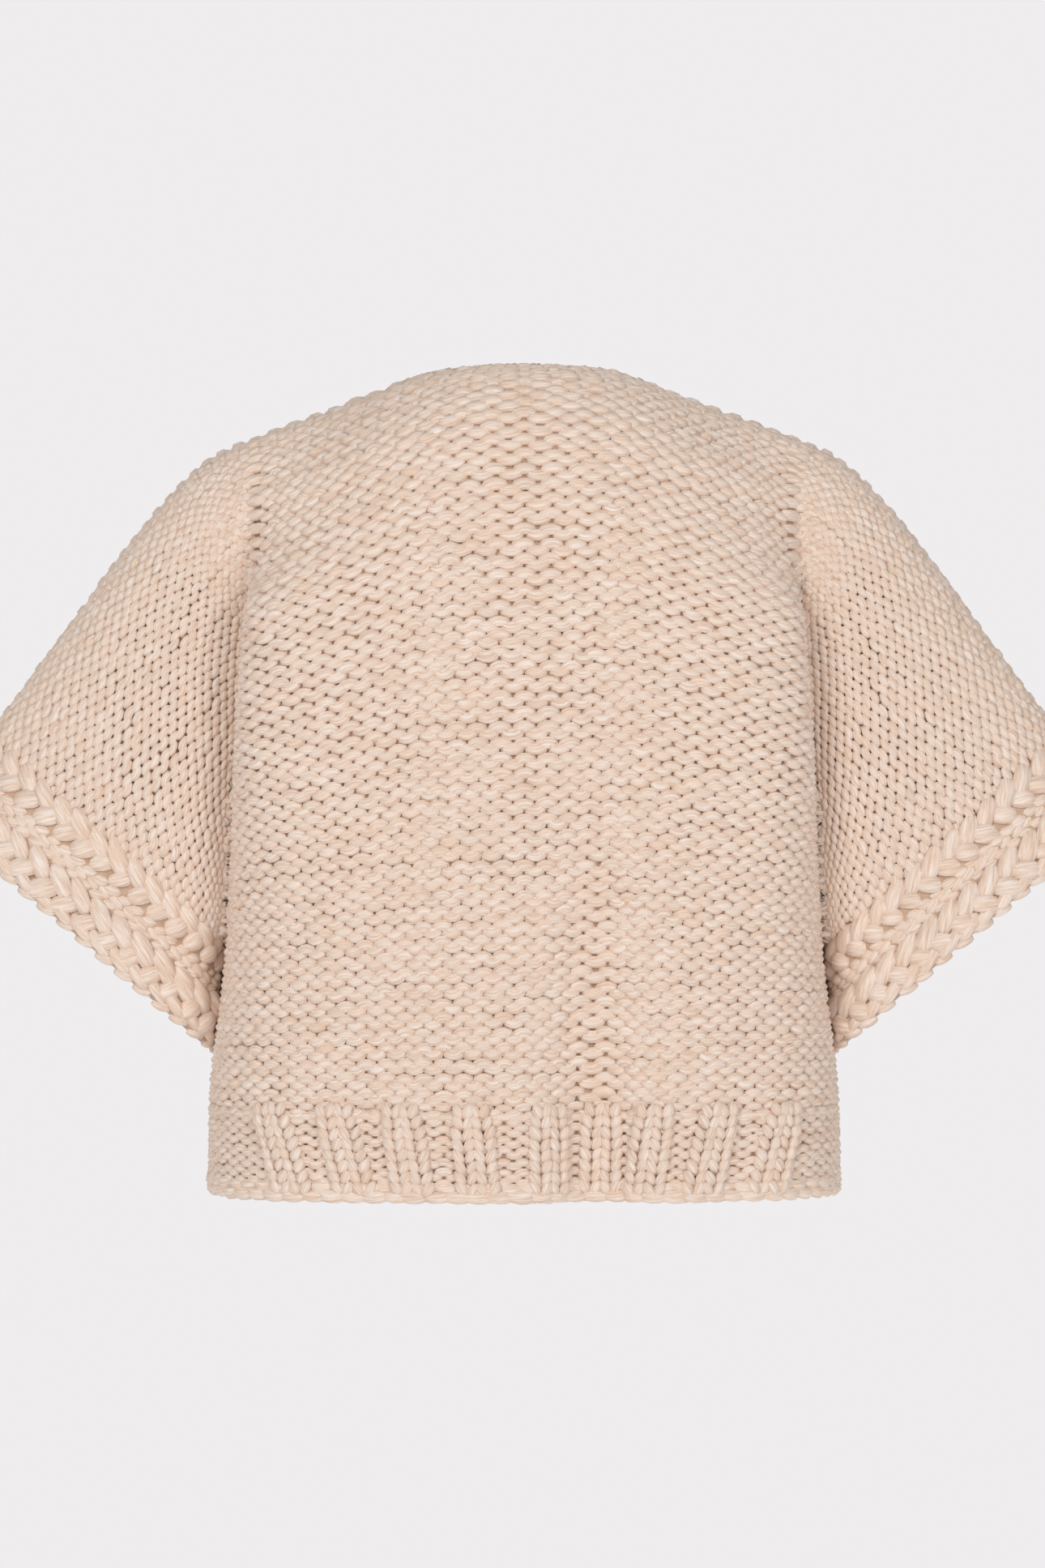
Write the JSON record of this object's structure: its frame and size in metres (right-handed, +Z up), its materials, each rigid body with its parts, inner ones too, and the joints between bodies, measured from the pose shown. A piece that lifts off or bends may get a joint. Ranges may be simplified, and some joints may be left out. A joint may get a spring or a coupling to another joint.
{
  "type": "cardigan",
  "caption": "Short open-fronted super-chunky knitted cardigan with wide dolman sleeves, plaited cuffs and a ribbed hem, filled out as worn with nobody in it.",
  "frame": {"origin": "between the wearer's shoulders, at the height where the shoulder line meets the neck, in the plane of the side seams", "axes": "+Z up, the back faces -Y, the open front +Y, +X towards the wearer's right"},
  "size_m": [0.7542, 0.2249, 0.5066],
  "materials": {
    "purl_knit": "matt heathered oatmeal wool, purl side out",
    "rib_knit": "matt heathered oatmeal wool, broad rib",
    "plaited_band": "matt heathered oatmeal wool, plaited"
  },
  "bodies": {
    "root": {"back": "purl_knit", "front_left": "purl_knit", "front_right": "purl_knit", "hem_back": "rib_knit", "hem_front_left": "rib_knit", "hem_front_right": "rib_knit", "cuff_left": "plaited_band", "cuff_right": "plaited_band"}
  },
  "joints": []
}
